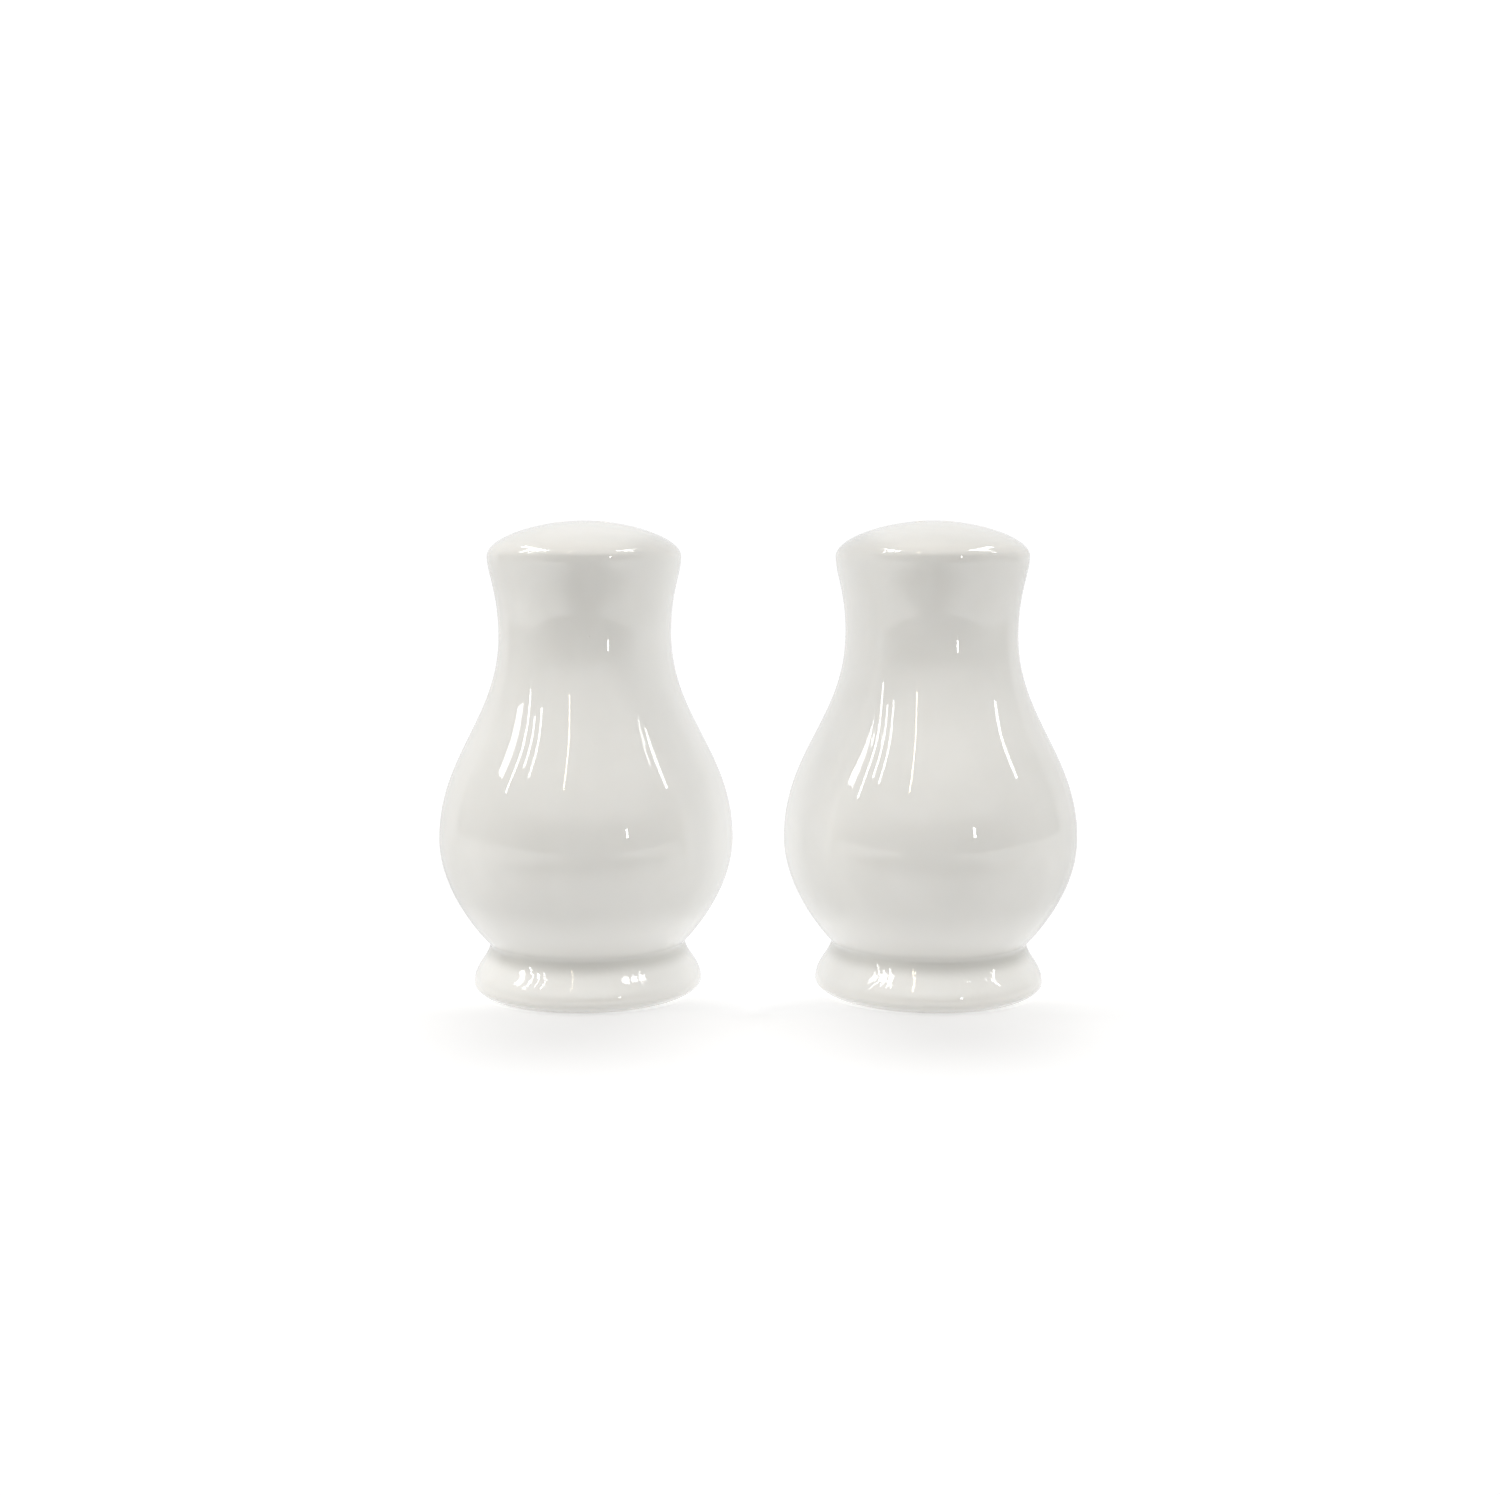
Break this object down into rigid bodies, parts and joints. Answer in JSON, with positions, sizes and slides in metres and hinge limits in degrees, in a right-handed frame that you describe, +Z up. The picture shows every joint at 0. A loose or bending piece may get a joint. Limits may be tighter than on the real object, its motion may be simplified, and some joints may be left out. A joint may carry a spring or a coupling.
{
  "type": "salt and pepper shakers",
  "caption": "Pear-shaped glazed porcelain salt and pepper shakers with domed, drilled tops, flared feet and push-in stoppers in their bases.",
  "frame": {"origin": "on the table, midway between the two shakers' axes", "axes": "+Z up, +X from the salt shaker to the pepper shaker, -Y towards the viewer"},
  "size_m": [0.1084, 0.0498, 0.08],
  "materials": {
    "porcelain": "gloss",
    "stopper_plastic": "satin"
  },
  "bodies": {
    "salt_shaker": {"salt_body": "porcelain"},
    "salt_stopper": {"salt_stopper": "stopper_plastic"},
    "pepper_shaker": {"pepper_body": "porcelain"},
    "pepper_stopper": {"pepper_stopper": "stopper_plastic"}
  },
  "joints": [
    {"name": "salt_stopper_pull", "type": "slide", "parent": "salt_shaker", "child": "salt_stopper", "axis": [0, 0, -1], "range_m": [0, 0.035]},
    {"name": "pepper_lift", "type": "slide", "parent": "salt_shaker", "child": "pepper_shaker", "axis": [0, 0, 1], "range_m": [0, 0.085]},
    {"name": "pepper_stopper_pull", "type": "slide", "parent": "pepper_shaker", "child": "pepper_stopper", "axis": [0, 0, -1], "range_m": [0, 0.035]}
  ]
}
